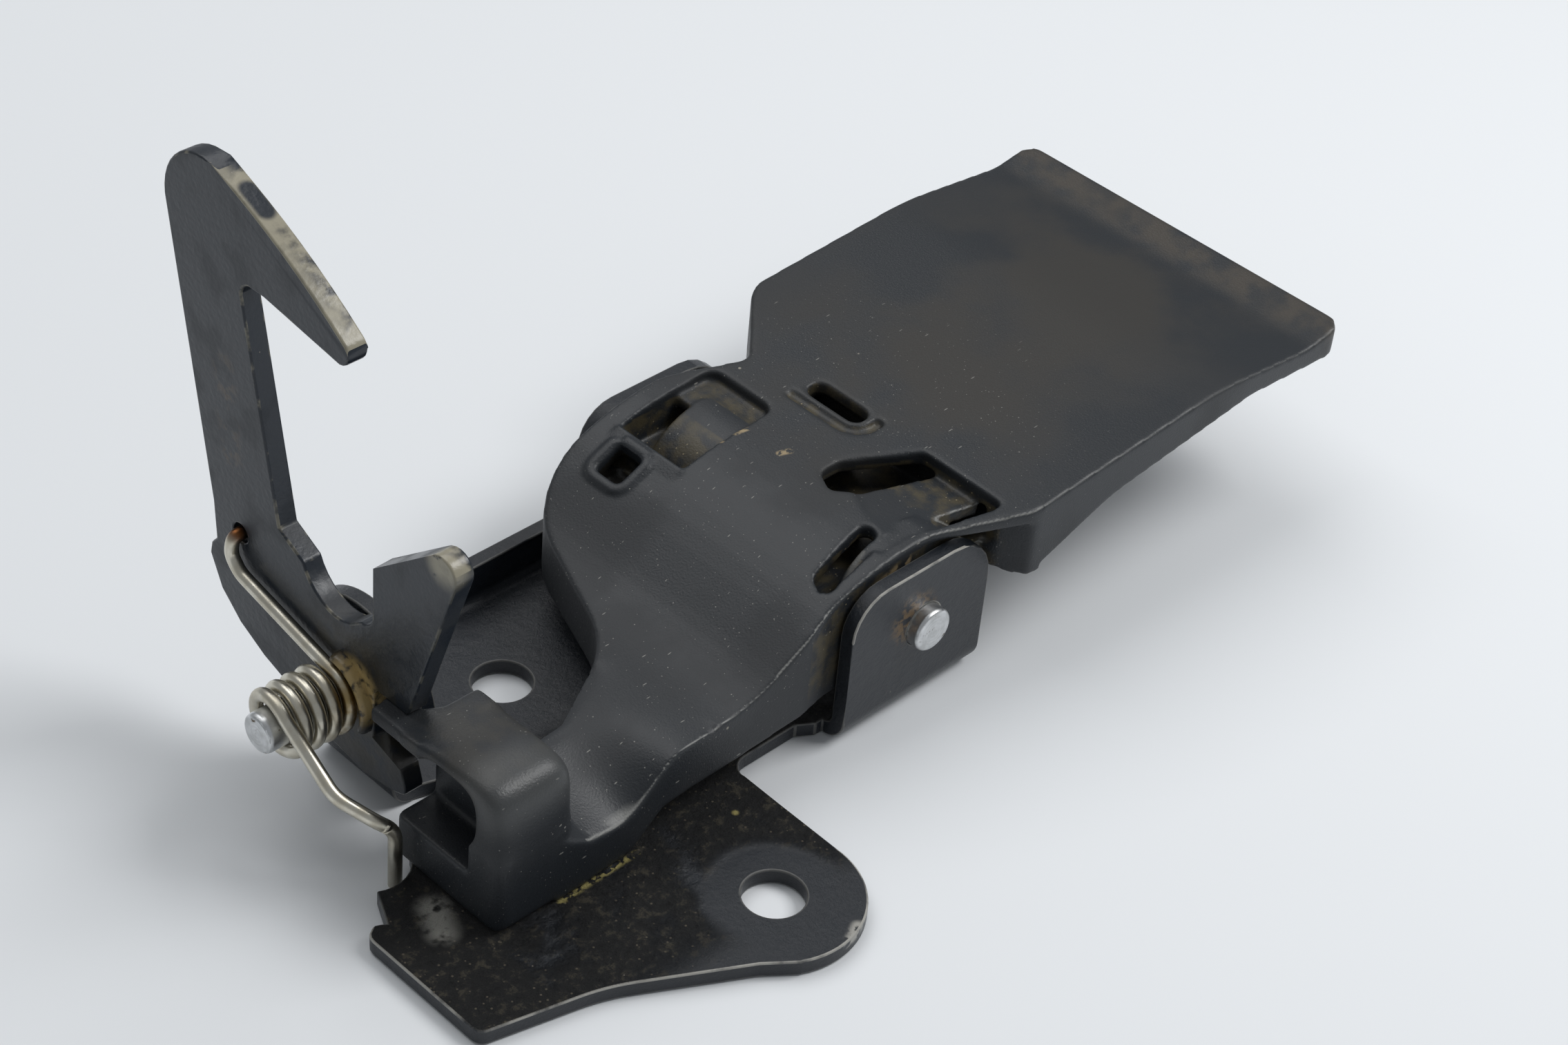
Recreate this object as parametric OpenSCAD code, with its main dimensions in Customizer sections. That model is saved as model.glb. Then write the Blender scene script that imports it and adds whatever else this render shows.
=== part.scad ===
// Hood latch: base bracket, release lever, safety hook, two pivot pins and a torsion spring.
// X runs from the nose to the paddle, Z rises from the mounting face, millimetres.

/* [Base bracket] */
// Sheet thickness of the bracket
sheet = 2.5; // [2:0.1:3.2]
// Diameter of the two mounting holes
mount_hole_d = 9; // [6.6:0.1:11]
// Distance between the mounting holes
mount_pitch = 56; // [54:0.5:58]
// Outer radius of the lobe round the near hole
lobe_r = 12.8; // [11:0.2:15]
// Reach of the front tongue ahead of the holes
tongue_reach = 46.5; // [45:0.5:50]
// Inside radius of the bends
bend_r = 1.5; // [1:0.1:2]
// Length of each ear along the lever
ear_len = 28.5; // [26:0.5:32]
// Height of the ears above the mounting face
ear_h = 25.8; // [25:0.2:28]
// Height of the low flange on the far side
rim_h = 9; // [7:0.5:12]
// Radius of the flange round the hook pin
flange_r = 13; // [11:0.5:14]

/* [Release lever] */
// Width of the lever between the ears
neck_w = 52; // [50:0.2:52.2]
// Width of the paddle
paddle_w = 66; // [60:1:72]
// Distance from the holes to the paddle's end
paddle_reach = 134; // [125:1:145]
// Wall thickness of the moulding
wall = 2.6; // [2:0.1:3.2]
// Diameter of the barrel on the lever pin
barrel_d = 13; // [11:0.5:14]
// Diameter of the bosses that show in the windows
boss_d = 24; // [22:0.5:25]
// Width of the nose box
nose_w = 21; // [19:0.5:21]
// Height of the nose box
nose_h = 24.2; // [23.2:0.1:24.6]

/* [Safety hook] */
// Thickness of the hook plate
hook_t = 3.2; // [2.5:0.1:3.2]
// Height of the hook above its pin
hook_h = 71.2; // [66:0.2:80]
// Height of the catch face above the pin
catch_h = 55; // [50:0.5:57]
// Width of the shank
shank_w = 14.6; // [12:0.2:17]
// Length of the barb past the shank
barb_len = 22; // [17:0.5:24]

/* [Pins and spring] */
// Diameter of the lever pin
lever_pin_d = 7; // [6:0.1:8]
// Diameter of the hook pin
hook_pin_d = 6; // [5:0.1:6.2]
// Running clearance on the diameter
fit = 0.1; // [0.06:0.02:0.16]
// Wire diameter of the spring
wire_d = 2.3; // [1.8:0.1:2.4]
// Number of full turns in the coil
turns = 4; // [3:1:4]

/* [Hidden] */
$fn = 48;
eps = 0.01;

// lever pivot and the width between the ears
pivot_x = 45;
pivot_z = 15;
mid_y = 17.6;
ear_gap = 0.5;
ear_in = neck_w / 2 + ear_gap;
ear_x0 = pivot_x - ear_len / 2 - 0.7;
ear_x1 = ear_x0 + ear_len;
ear_near = mid_y - ear_in - sheet;
ear_far = mid_y + ear_in + sheet;
bend_o = bend_r + sheet;
flat_near = ear_near + bend_o;
flat_far = ear_far - bend_o;

// hook pivot and planes
pin_y = 26;
pin_z = 19.7;
hook_x = 15.5 - tongue_reach;
hook_back = hook_x + hook_t;
flange_x = hook_back + 0.4;
flange_back = flange_x + sheet;
flat_front = flange_x + bend_o;
foot_near = pin_y - 7;
foot_far = pin_y + 10;
rim_x = 3;

// nose box
nose_x = hook_x - 3;
nose_back = nose_x + 15.2;
nose_near = -10.5;
arm_x = nose_back - 5;
arm_top = 16.5;
hollow_x = -2;
shelf_top = sheet + 22.5;
web_z = 19.6;
web_t = 1.8;
nose_far = nose_near + nose_w;
nose_z = sheet + 0.3;
nose_top = nose_z + nose_h;

// spring
coil_r = hook_pin_d / 2 + wire_d / 2 + 0.35;
coil_pitch = wire_d + 0.15;
coil_back = hook_x - wire_d / 2 - 0.25;
coil_turn = 360 * turns + 24;
coil_front = coil_back - coil_pitch * coil_turn / 360;
pin_end = coil_front - wire_d / 2 - 1.4;
tip_y = pin_y + 21.2;
tip_z = pin_z + 13.9;

// points on an arc
function arc(c, r, a0, a1, n = 12) =
    [for (i = [0:n]) let (a = a0 + (a1 - a0) * i / n) [c[0] + r * cos(a), c[1] + r * sin(a)]];

function unit(v) = v / norm(v);

// arc of radius r that rounds corner b between a and c
function corner(a, b, c, r, n = 6) =
    let (
        u = unit(a - b),
        v = unit(c - b),
        half = acos(u * v) / 2,
        centre = b + unit(u + v) * r / sin(half),
        p = b + u * r / tan(half) - centre,
        q = b + v * r / tan(half) - centre,
        from = atan2(p[1], p[0]),
        turn = atan2(p[0] * q[1] - p[1] * q[0], p * q))
    [for (i = [0:n]) let (g = from + turn * i / n) centre + r * [cos(g), sin(g)]];

// points between a and b on an arc that rises by a given height at its middle
function bowed(a, b, rise, n = 8) =
    let (
        span = norm(b - a),
        r = span * span / (8 * rise) + rise / 2,
        side = [b[1] - a[1], a[0] - b[0]] / span,
        centre = (a + b) / 2 + side * (rise - r),
        half = asin(span / (2 * r)),
        mid = atan2(side[1], side[0]))
    [for (i = [1:n - 1]) let (g = mid - half + 2 * half * i / n) centre + r * [cos(g), sin(g)]];

function flat(p) = [p[0], p[1]];

// closed outline from corners given as [across, up, radius]
function rounded(list) =
    let (n = len(list))
    [for (i = [0:n - 1])
        let (a = flat(list[(i + n - 1) % n]), b = flat(list[i]), c = flat(list[(i + 1) % n]), r = list[i][2])
        each r > 0 ? corner(a, b, c, r) : [b]];

// extrude an outline drawn in Y and Z along X
module along_x(x, length) {
    translate([x, 0, 0]) rotate([90, 0, 90]) linear_extrude(length) children();
}

// extrude an outline drawn in X and Z along Y
module along_y(y, length) {
    translate([0, y + length, 0]) rotate([90, 0, 0]) linear_extrude(length) children();
}

// flat of the bracket between the bends
module plate_flat() {
    near_y = -mount_pitch / 2;
    front = -tongue_reach;
    notch = [hook_x - 6.5, 11.5];
    points = concat(
        rounded([
            [front, 5, 2], [front, -21.5, 2], [front + 18, -26, 30], [-10.5, -36, 2],
            [-6, near_y - lobe_r + 1.4, 0]]),
        arc([0, near_y], lobe_r, 243, 363, 24),
        arc([lobe_r + 3.2, flat_near - 1.4], 3, 180, 90, 6),
        [[ear_x0 - 4, flat_near + 1.6], [ear_x0 - 1.4, flat_near], [ear_x1, flat_near], [ear_x1, flat_far]],
        [[rim_x, flat_far], [rim_x - 11, flat_far - 2.6], [flat_front, foot_far], [flat_front, foot_near]],
        [[flat_front + 3.4, foot_near - 1], [flat_front + 2.4, notch[1] + 2.5], [flat_front - 5.6, notch[1] - 0.5]],
        arc(notch, 5.5, 340, 240, 8));
    linear_extrude(sheet) polygon(points);
}

// quarter bend that turns the sheet upward, its axis along X
module bend_along_x(x0, x1, y, side) {
    translate([x0, y, bend_o]) rotate([0, 90, 0]) intersection() {
        difference() {
            cylinder(r = bend_o, h = x1 - x0);
            translate([0, 0, -1]) cylinder(r = bend_r, h = x1 - x0 + 2);
        }
        translate([0, side > 0 ? -eps : -bend_o, 0]) cube([bend_o, bend_o + eps, x1 - x0]);
    }
}

// ear with rounded upper corners, drawn in X and Z
module ear_shape() {
    polygon(rounded([
        [ear_x0, bend_o - eps, 0], [ear_x1, bend_o - eps, 0], [ear_x1, ear_h, 8.5], [ear_x0, ear_h, 6.5]]));
}

module base_plate() {
    color("#1b1e21") difference() {
        union() {
            plate_flat();
            bend_along_x(ear_x0, ear_x1, flat_near, -1);
            bend_along_x(rim_x, ear_x1, flat_far, 1);
            along_y(ear_near, sheet) ear_shape();
            along_y(ear_far - sheet, sheet) ear_shape();
            translate([rim_x, ear_far - sheet, bend_o - eps])
                cube([ear_x1 - rim_x, sheet, rim_h - bend_o]);
            translate([flat_front, foot_near, bend_o]) rotate([-90, 0, 0]) intersection() {
                difference() {
                    cylinder(r = bend_o, h = foot_far - foot_near);
                    translate([0, 0, -1]) cylinder(r = bend_r, h = foot_far - foot_near + 2);
                }
                translate([-bend_o, 0, 0]) cube([bend_o + eps, bend_o, foot_far - foot_near]);
            }
            translate([flange_x, foot_near, bend_o - eps]) cube([sheet, foot_far - foot_near, pin_z - bend_o]);
            translate([flange_x, pin_y, pin_z]) rotate([0, 90, 0]) cylinder(r = flange_r, h = sheet);
        }
        for (side = [-1, 1])
            translate([0, side * mount_pitch / 2, -1]) cylinder(d = mount_hole_d, h = sheet + 2);
        translate([pivot_x, ear_near - 1, pivot_z]) rotate([-90, 0, 0])
            cylinder(d = lever_pin_d, h = ear_far - ear_near + 2);
        translate([flange_x - 1, pin_y, pin_z]) rotate([0, 90, 0]) cylinder(d = hook_pin_d, h = sheet + 2);
    }
}

// top line of the lever, from the arm behind the nose over the pivot to the paddle's lip
crest = [pivot_x - 12.8, 27.4];
paddle_bend = [paddle_reach - 30.6, 31.9];
function top_line(drop) = [
    [arm_x, arm_top - drop, 0], [pivot_x - 32.8, arm_top - 0.1 - drop, 24],
    [crest[0], crest[1] - drop, 44], [paddle_bend[0], paddle_bend[1] - drop, 60],
    [paddle_reach - 8.5, 29.5 - drop, 14], [paddle_reach + 1, 31.1 - drop, 0]];

// height of the straight top between the crest and the paddle's bend
function top_at(x) =
    crest[1] + (x - crest[0]) * (paddle_bend[1] - crest[1]) / (paddle_bend[0] - crest[0]);

// lower edge of the skirt, from the paddle's lip back to the arm
skirt_line = [
    [paddle_reach + 1, 25.2, 0], [paddle_reach - 22, 26.8, 20], [pivot_x + 35, 23.2, 30],
    [pivot_x + 13, 15.5, 6], [pivot_x + 6, 8.9, 4], [-4, 7.2, 2], [-9.5, nose_z, 3],
    [arm_x, nose_z, 0]];

// plan of the lever, drawn in by a wall for the hollow underside
module lever_plan(inset) {
    n0 = mid_y - neck_w / 2 + inset;
    n1 = mid_y + neck_w / 2 - inset;
    p0 = mid_y - paddle_w / 2 + inset;
    p1 = mid_y + paddle_w / 2 - inset;
    back = paddle_reach - inset;
    polygon(rounded([
        [arm_x + 2 * inset, nose_near + inset, 0], [nose_back + 1, nose_near + inset, 0], [0, n0 - 1.2, 40],
        [ear_x0 - 7, n0 - 1, 10], [ear_x0 - 1.4, n0, 4], [pivot_x + 2 + 0.2 * inset, n0, 15],
        [pivot_x + 17.5 + 0.2 * inset, p0, 6 - inset], [back, p0, 3], [back, p1, 3], [pivot_x + 24.4 + 0.4 * inset, p1, 7 - inset],
        [pivot_x + 11.4 + 0.2 * inset, n1 - 5.9 - 0.2 * inset, 2.5 + inset], [pivot_x - 0.8 - 0.2 * inset, n1, 14],
        [pivot_x - 27.8 + 0.7 * inset, n1, 15 - inset], [6.3 + 0.8 * inset, 13.8 - 0.7 * inset, 18 + inset],
        [-9.5, 5 - inset, 0], [arm_x + 2 * inset, 4 - inset, 0]]));
}

// nose box with its mouth open to the front and to the hook, and the shelf that lifts the hook's lug
module nose() {
    mouth_z = nose_z + 7.4;
    mouth_top = shelf_top - 2;
    cheek = 6.5;
    shelf_y = pin_y - 9.5;
    shelf_back = hook_back - 0.8;
    difference() {
        union() {
            intersection() {
                along_x(nose_x, nose_back - nose_x) polygon(rounded([
                    [nose_near, nose_z, 1.2], [nose_far, nose_z, 1.2], [nose_far, shelf_top, 0.8],
                    [nose_near + 1.2, nose_top, 4.5], [nose_near, nose_top - 9, 20]]));
                along_y(nose_near, nose_w) polygon(rounded([
                    [nose_x, nose_z, 0.8], [nose_back, nose_z, 0], [nose_back, nose_top, 6], [nose_x, nose_top, 1.2]]));
                translate([0, 0, nose_z]) linear_extrude(nose_h) polygon(rounded([
                    [nose_x, nose_near, 2], [nose_back, nose_near, 5], [nose_back, nose_far, 2], [nose_x, nose_far, 1]]));
            }
            translate([0, 0, mouth_top - eps]) linear_extrude(shelf_top - mouth_top) polygon([
                [nose_x + 0.6, nose_far - 2], [hook_x - 0.6, shelf_y], [shelf_back, shelf_y],
                [shelf_back, shelf_y - 4.5], [nose_back - 4, nose_far - 2]]);
        }
        translate([nose_x - 1, nose_near + cheek, mouth_z])
            cube([hook_back + 0.5 - nose_x + 1, nose_w, mouth_top - mouth_z]);
    }
}

// shell of the arm, neck and paddle, open below
module lever_shell() {
    intersection() {
        translate([0, 0, -5]) linear_extrude(60) lever_plan(0);
        along_y(-30, 100) polygon(rounded(concat(top_line(0), skirt_line)));
        difference() {
            translate([-60, -60, -10]) cube([260, 160, 80]);
            intersection() {
                translate([0, 0, -6]) linear_extrude(62) lever_plan(wall);
                translate([hollow_x, -60, -10]) cube([200, 160, 80]);
                along_y(-30, 100) polygon(rounded(concat(
                    top_line(wall), [[paddle_reach + 1, -1, 0], [arm_x, -1, 0]])));
            }
        }
    }
}

// barrel on the pin, the ribs that carry it and the web that closes the windows below
module lever_ribs() {
    y0 = mid_y - neck_w / 2;
    y1 = mid_y + neck_w / 2;
    rib = 2.6;
    intersection() {
        union() {
            translate([pivot_x, y0, pivot_z]) rotate([-90, 0, 0]) cylinder(d = barrel_d, h = neck_w);
            for (y = [y0 + 0.2, y0 + 11, mid_y - rib / 2, y1 - 18, y1 - 4.2])
                along_y(y, rib) polygon([
                    [pivot_x - 19, 9.2], [pivot_x + 6, 9.2], [pivot_x + 15, 20], [pivot_x + 15, 27.5],
                    [pivot_x - 3, 26.5], [pivot_x - 19, 22]]);
            translate([pivot_x - 20.6, y0, web_z]) cube([39.2, neck_w, web_t]);
            translate([pivot_x + 17, y0, web_z]) cube([web_t, neck_w, top_at(pivot_x + 17) - web_z - 1]);
            translate([0, 0, web_z - 2.6]) linear_extrude(top_at(ear_x1) - web_z + 1.6) polygon([
                [ear_x1, y0 + 0.5], [ear_x1 + rib, y0 + 0.5], [ear_x1 + 4.5 + rib, y0 - 8], [ear_x1 + 4, y0 - 8]]);
        }
        translate([0, 0, -5]) linear_extrude(60) lever_plan(0);
    }
}

// rounded-end slot of a given radius between two points along Y
module long_slot(x, y0, y1, r) {
    translate([x - r, y0]) square([2 * r, y1 - y0]);
    for (y = [y0, y1]) translate([x, y]) circle(r = r);
}

// openings in the top of the neck
module neck_windows() {
    y0 = mid_y - neck_w / 2;
    y1 = mid_y + neck_w / 2;
    sill = web_z + web_t;
    slot_x = pivot_x + 14;
    translate([0, 0, sill]) linear_extrude(20) polygon(rounded([
        [pivot_x - 15, y1 - 17, 2], [pivot_x + 5.8, y1 - 17, 2], [pivot_x + 5.8, y1 - 3.8, 2],
        [pivot_x - 15, y1 - 3.8, 2]]));
    translate([0, 0, sill]) linear_extrude(20) polygon(rounded([
        [pivot_x - 16.4, y0 + 2.2, 1.2], [pivot_x - 2.5, y0 + 3.4, 1], [pivot_x - 2.6, y0 + 8, 1.2],
        [pivot_x - 14.6, y0 + 6, 1.2]]));
    translate([0, 0, sill]) linear_extrude(20) polygon(rounded([
        [pivot_x + 1.3, y0 + 13.9, 0], [pivot_x - 1, y0 + 16.6, 1], [pivot_x + 0.8, y0 + 20.2, 1.4],
        [pivot_x + 4.6, y0 + 20, 2], [pivot_x + 15.2, y0 + 13.2, 1.5], [pivot_x + 15, y0 - 2.8, 1],
        [pivot_x, y0 + 1.6, 4], [pivot_x - 5.6, y0 + 1.9, 0.6], [pivot_x - 5.6, y0 + 3.6, 0.6],
        [pivot_x - 3, y0 + 4.3, 0]]));
    translate([pivot_x - 19.9, y1 - 11.4, web_z + 0.8]) cube([4.8, 4.8, 14]);
    translate([0, 0, sill]) linear_extrude(14) long_slot(slot_x, y1 - 26, y1 - 18.4, 1.7);
    translate([0, 0, top_at(slot_x) - 1]) linear_extrude(4) difference() {
        long_slot(slot_x, y1 - 26, y1 - 16, 4.6);
        long_slot(slot_x, y1 - 26, y1 - 16, 2.9);
        translate([slot_x + 1.6, y1 - 31]) square([4, 32]);
        translate([slot_x - 5, y1 - 15.4]) square([10, 6]);
    }
}

// sprung tongue in the near window, rooted beside the pivot and dipping to its free end
module neck_tongue() {
    y0 = mid_y - neck_w / 2;
    root = pivot_x - 1;
    translate([root, 0, top_at(root) - 0.15]) rotate([0, 6, 0]) translate([0, 0, -2.2]) linear_extrude(2.2)
        polygon(rounded([
            [-2.4, y0 + 4.3, 0], [16.6, y0 + 1.9, 0], [16.6, y0 + 10.4, 0], [1.9, y0 + 13.9, 0]]));
}

// round bosses on the pin, seen in the two outer windows
module neck_bosses() {
    y0 = mid_y - neck_w / 2;
    y1 = mid_y + neck_w / 2;
    intersection() {
        union() {
            translate([pivot_x, y0, pivot_z]) rotate([-90, 0, 0]) cylinder(d = boss_d + 2.8, h = 5, $fn = 96);
            translate([pivot_x, y1 - 17.4, pivot_z]) rotate([-90, 0, 0]) cylinder(d = boss_d, h = 10.4, $fn = 96);
            translate([pivot_x - 1.5, y1 - 18, top_at(pivot_x) - 3.6]) cube([8.2, 15, 2]);
        }
        translate([0, -60, pivot_z - 5.8]) cube([120, 160, 40]);
        along_y(-30, 100) polygon(rounded(concat(top_line(0.3), skirt_line)));
    }
}

// dip in the arm's near edge behind the nose, which fades towards the far side
module arm_dip() {
    fade = 15.5;
    translate([0, nose_near - 1, arm_top + 0.05]) rotate([90, 0, 0]) mirror([0, 0, 1])
        linear_extrude(fade, scale = [1, 0.02], slices = 8) polygon(rounded([
            [arm_x - 1, 6, 0], [nose_back + 21, 6, 0], [nose_back + 21, 0, 0], [nose_back + 16.6, 0, 7],
            [nose_back + 8.2, -8.1, 6], [nose_back + 1.2, -6.6, 3.5], [arm_x - 1, -2, 0]]));
}

// low rim round the square hole, lying on the slope
module hole_rim() {
    tilt = 25;
    translate([pivot_x - 17.5, mid_y + neck_w / 2 - 9, 24.3]) rotate([0, -tilt, 0]) translate([0, 0, -1.4])
        linear_extrude(2.2) difference() {
            polygon(rounded([[-4.4, -4.4, 2.6], [4.4, -4.4, 2.6], [4.4, 4.4, 2.6], [-4.4, 4.4, 2.6]]));
            polygon(rounded([[-2.7, -2.7, 0.8], [2.7, -2.7, 0.8], [2.7, 2.7, 0.8], [-2.7, 2.7, 0.8]]));
        }
}

module lever() {
    y0 = mid_y - neck_w / 2;
    color("#26282b") difference() {
        union() {
            nose();
            difference() {
                union() {
                    lever_shell();
                    lever_ribs();
                    hole_rim();
                }
                neck_windows();
                arm_dip();
            }
            neck_tongue();
            neck_bosses();
        }
        translate([pivot_x, y0 - 1, pivot_z]) rotate([-90, 0, 0])
            cylinder(d = lever_pin_d + fit, h = neck_w + 2);
        translate([0, 0, -5]) linear_extrude(ear_h + 5.9) polygon([
            [ear_x0 - 1.2, y0], [ear_x1 + 0.5, y0], [ear_x1 + 4.5, y0 - 8], [ear_x0 - 1.2, y0 - 8]]);
    }
}

module lever_pin() {
    color("#aeb3b8") translate([pivot_x, ear_near - 2.2, pivot_z]) rotate([-90, 0, 0]) {
        cylinder(d1 = lever_pin_d - 0.8, d2 = lever_pin_d, h = 0.4);
        translate([0, 0, 0.4 - eps]) cylinder(d = lever_pin_d, h = ear_far - ear_near + 2.3);
        translate([0, 0, ear_far - ear_near + 2.2]) cylinder(d = lever_pin_d + 3, h = 1.4);
    }
}

// outline of the hook round its pin, drawn in Y and Z
module hook_shape() {
    top_r = 9;
    tip_r = 2.1;
    lean = 7.2;
    far_y = 27 + lean;
    near_y = far_y - shank_w;
    tip = [near_y - barb_len + tip_r, catch_h + 1.4];
    head = [far_y + 1 - top_r, hook_h - top_r];
    lug_foot = shelf_top + 0.2 - pin_z;
    polygon(concat(
        arc(head, top_r, -4, 108, 12),
        bowed(head + top_r * [cos(108), sin(108)], tip + tip_r * [cos(118), sin(118)], 1),
        arc(tip, tip_r, 118, 262, 8),
        [[near_y - 5, catch_h + 1.2]],
        arc([near_y - 2.4, catch_h - 1], 2.2, 75, 0, 5),
        [[27.2 - shank_w, 20]],
        arc([0.6, 20], 7.4, -20, -110, 8),
        arc([-4.4, 17.4], 2.5, 270, 180, 5),
        [[-6.9, 25.7]],
        arc([-20.6, 33.4], 2.8, 60, 190, 8),
        [[-14.4, lug_foot], [-8, lug_foot], [-7.2, lug_foot - 1.5], [-7.2, -3.5], [-13, -5.6]],
        arc([-12.6, -8.7], 1.3, 150, 260, 5),
        [[-4.3, -11.4], [3, -10.2], [9.1, -7.5], [16.7, -5.1], [22, -2.4], [26, 1.2], [28.4, 6.2]],
        [[28, 8.2], [26.8, 9.6], [27.2, 16]]));
}

module hook() {
    color("#1d2024") difference() {
        translate([0, pin_y, pin_z]) along_x(hook_x, hook_t) hook_shape();
        translate([hook_x - 1, pin_y, pin_z]) rotate([0, 90, 0])
            cylinder(d = hook_pin_d + fit, h = hook_t + 2);
        translate([hook_x - 1, tip_y, tip_z]) rotate([0, 90, 0]) cylinder(d = wire_d + 0.7, h = hook_t + 2);
    }
}

module hook_pin() {
    color("#b2b6ba") translate([pin_end, pin_y, pin_z]) rotate([0, 90, 0]) {
        cylinder(d1 = hook_pin_d - 0.7, d2 = hook_pin_d, h = 0.5);
        translate([0, 0, 0.5 - eps]) cylinder(d = hook_pin_d, h = flange_back - pin_end - 0.4);
        translate([0, 0, flange_back - pin_end]) cylinder(d = hook_pin_d + 3.4, h = 1.6);
    }
}

// path of the spring wire: leg on the hook, coil, leg on the tongue
function coil_at(a) =
    [coil_back - coil_pitch * (a - 107) / 360, pin_y + coil_r * cos(a), pin_z + coil_r * sin(a)];
hook_leg = [
    [hook_back - 0.4, tip_y, tip_z], [hook_x, tip_y, tip_z], [hook_x - 0.8, tip_y, tip_z - 0.5],
    [coil_back, tip_y + 0.2, tip_z - 1.5], [coil_back, pin_y + 21.6, pin_z + 11.2],
    [coil_back, pin_y + 20.6, pin_z + 9.6], [coil_back, pin_y + 19, pin_z + 8.6]];
coil_path = [for (a = [107:15:107 + coil_turn]) coil_at(a)];
tongue_leg = [
    [coil_front + 0.1, 14.2, 16.9], [coil_front + 0.5, 12.6, 15.4], [coil_front + 1.6, 11.2, 14.2],
    [hook_x - 7.6, 8.8, 12.6], [hook_x - 6.1, 7.9, 11], [hook_x - 5.5, 7.6, 8.6], [hook_x - 5.4, 7.6, 0.6]];
wire_path = concat(hook_leg, coil_path, tongue_leg);

function wire_dir(i) =
    unit(wire_path[min(i + 1, len(wire_path) - 1)] - wire_path[max(i - 1, 0)]);

// round wire swept along the path, one ring of corners at each point
module torsion_spring() {
    sides = 12;
    count = len(wire_path);
    points = [for (i = [0:count - 1])
        let (d = wire_dir(i), side = unit(cross(d, abs(d[0]) > 0.75 ? [0, 1, 0] : [1, 0, 0])), up = cross(side, d))
        for (k = [0:sides - 1])
            wire_path[i] + wire_d / 2 * (cos(360 * k / sides) * side + sin(360 * k / sides) * up)];
    walls = [for (i = [0:count - 2], k = [0:sides - 1])
        let (a = i * sides + k, b = i * sides + (k + 1) % sides)
        [a, b, b + sides, a + sides]];
    first = [for (k = [sides - 1:-1:0]) k];
    last = [for (k = [0:sides - 1]) (count - 1) * sides + k];
    color("#c2bfb2") polyhedron(points, concat(walls, [first, last]), convexity = 8);
}

base_plate();
lever();
lever_pin();
hook();
hook_pin();
torsion_spring();
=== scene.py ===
import math

import bmesh
import bpy
from mathutils import Matrix, Vector


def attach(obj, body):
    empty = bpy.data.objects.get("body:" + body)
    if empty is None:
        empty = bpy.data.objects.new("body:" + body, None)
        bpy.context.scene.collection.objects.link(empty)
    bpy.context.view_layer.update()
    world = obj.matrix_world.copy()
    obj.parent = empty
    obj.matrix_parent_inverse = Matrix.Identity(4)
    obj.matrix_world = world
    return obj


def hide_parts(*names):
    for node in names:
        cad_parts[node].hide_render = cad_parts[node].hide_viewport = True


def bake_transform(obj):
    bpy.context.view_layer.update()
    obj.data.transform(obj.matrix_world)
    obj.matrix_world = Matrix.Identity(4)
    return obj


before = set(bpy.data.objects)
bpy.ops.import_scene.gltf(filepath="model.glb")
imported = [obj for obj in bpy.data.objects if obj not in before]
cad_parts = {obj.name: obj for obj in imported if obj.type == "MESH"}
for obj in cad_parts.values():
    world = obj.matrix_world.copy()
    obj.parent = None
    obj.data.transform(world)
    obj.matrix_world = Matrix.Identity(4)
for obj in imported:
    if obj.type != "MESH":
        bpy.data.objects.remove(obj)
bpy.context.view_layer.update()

# Base bracket
# Stamped from 2.5 mm steel sheet: a tongue, a lobe with the mounting hole, two ears for the lever pin
# and a round flange for the hook pin. It is dipped in black paint, greasy on top and scuffed at its edges,
# and the pale near rim is also a painted highlight.

MM = 0.001
SAME_POINT = 0.002
SLIVER = 0.12
FLAT = math.radians(0.4)
SHARP = math.radians(28)
SHADING_BREAK = math.radians(50)
scene = bpy.context.scene


def eased_copy(node, name, ease, areas):
    """The piece that stands for a solid, with its sharp edges rounded.
    ease gives an edge's radius in mm and how pale its round is painted, for wear and, on the bracket's near
    rim, also for a painted highlight.
    areas names tests on a face's middle and normal."""
    piece = bpy.data.objects.new(name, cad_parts[node].data.copy())
    scene.collection.objects.link(piece)
    form = bmesh.new()
    form.from_mesh(piece.data)
    bmesh.ops.remove_doubles(form, verts=form.verts, dist=SAME_POINT * MM)
    bmesh.ops.dissolve_limit(form, angle_limit=FLAT, verts=form.verts, edges=form.edges)
    bmesh.ops.remove_doubles(form, verts=form.verts, dist=SLIVER * MM)
    wear_and_highlight = form.loops.layers.float_color.new("wear_and_highlight")
    marks = {area: form.loops.layers.float_color.new(area) for area in areas}
    for face in form.faces:
        middle = face.calc_center_median() / MM
        for loop in face.loops:
            loop[wear_and_highlight] = (0, 0, 0, 1)
            for area, test in areas.items():
                inside = float(test(middle, face.normal))
                loop[marks[area]] = (inside, inside, inside, 1)
    groups = {}
    for edge in form.edges:
        if edge.is_manifold and edge.calc_face_angle() > SHARP:
            groups.setdefault(ease(edge), []).append(edge)
    for radius, rub_and_highlight in sorted(groups, reverse=True):
        edges = [edge for edge in groups[radius, rub_and_highlight] if edge.is_valid]
        if edges:
            made = bmesh.ops.bevel(
                form, geom=edges, offset=radius * MM, offset_type="OFFSET", segments=3,
                profile=0.5, affect="EDGES", material=-1,
            )
            for face in made["faces"]:
                for loop in face.loops:
                    loop[wear_and_highlight] = (rub_and_highlight, rub_and_highlight, rub_and_highlight, 1)
    for face in form.faces:
        face.smooth = True
    form.to_mesh(piece.data)
    form.free()
    piece.data.set_sharp_from_angle(angle=SHADING_BREAK)
    piece.data.materials.clear()
    shade = piece.modifiers.new("even shading", "WEIGHTED_NORMAL")
    shade.keep_sharp = True
    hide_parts(node)
    return piece


def middle_of(edge):
    """The middle of an edge, in mm."""
    return (edge.verts[0].co + edge.verts[1].co) / 2 / MM


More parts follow.
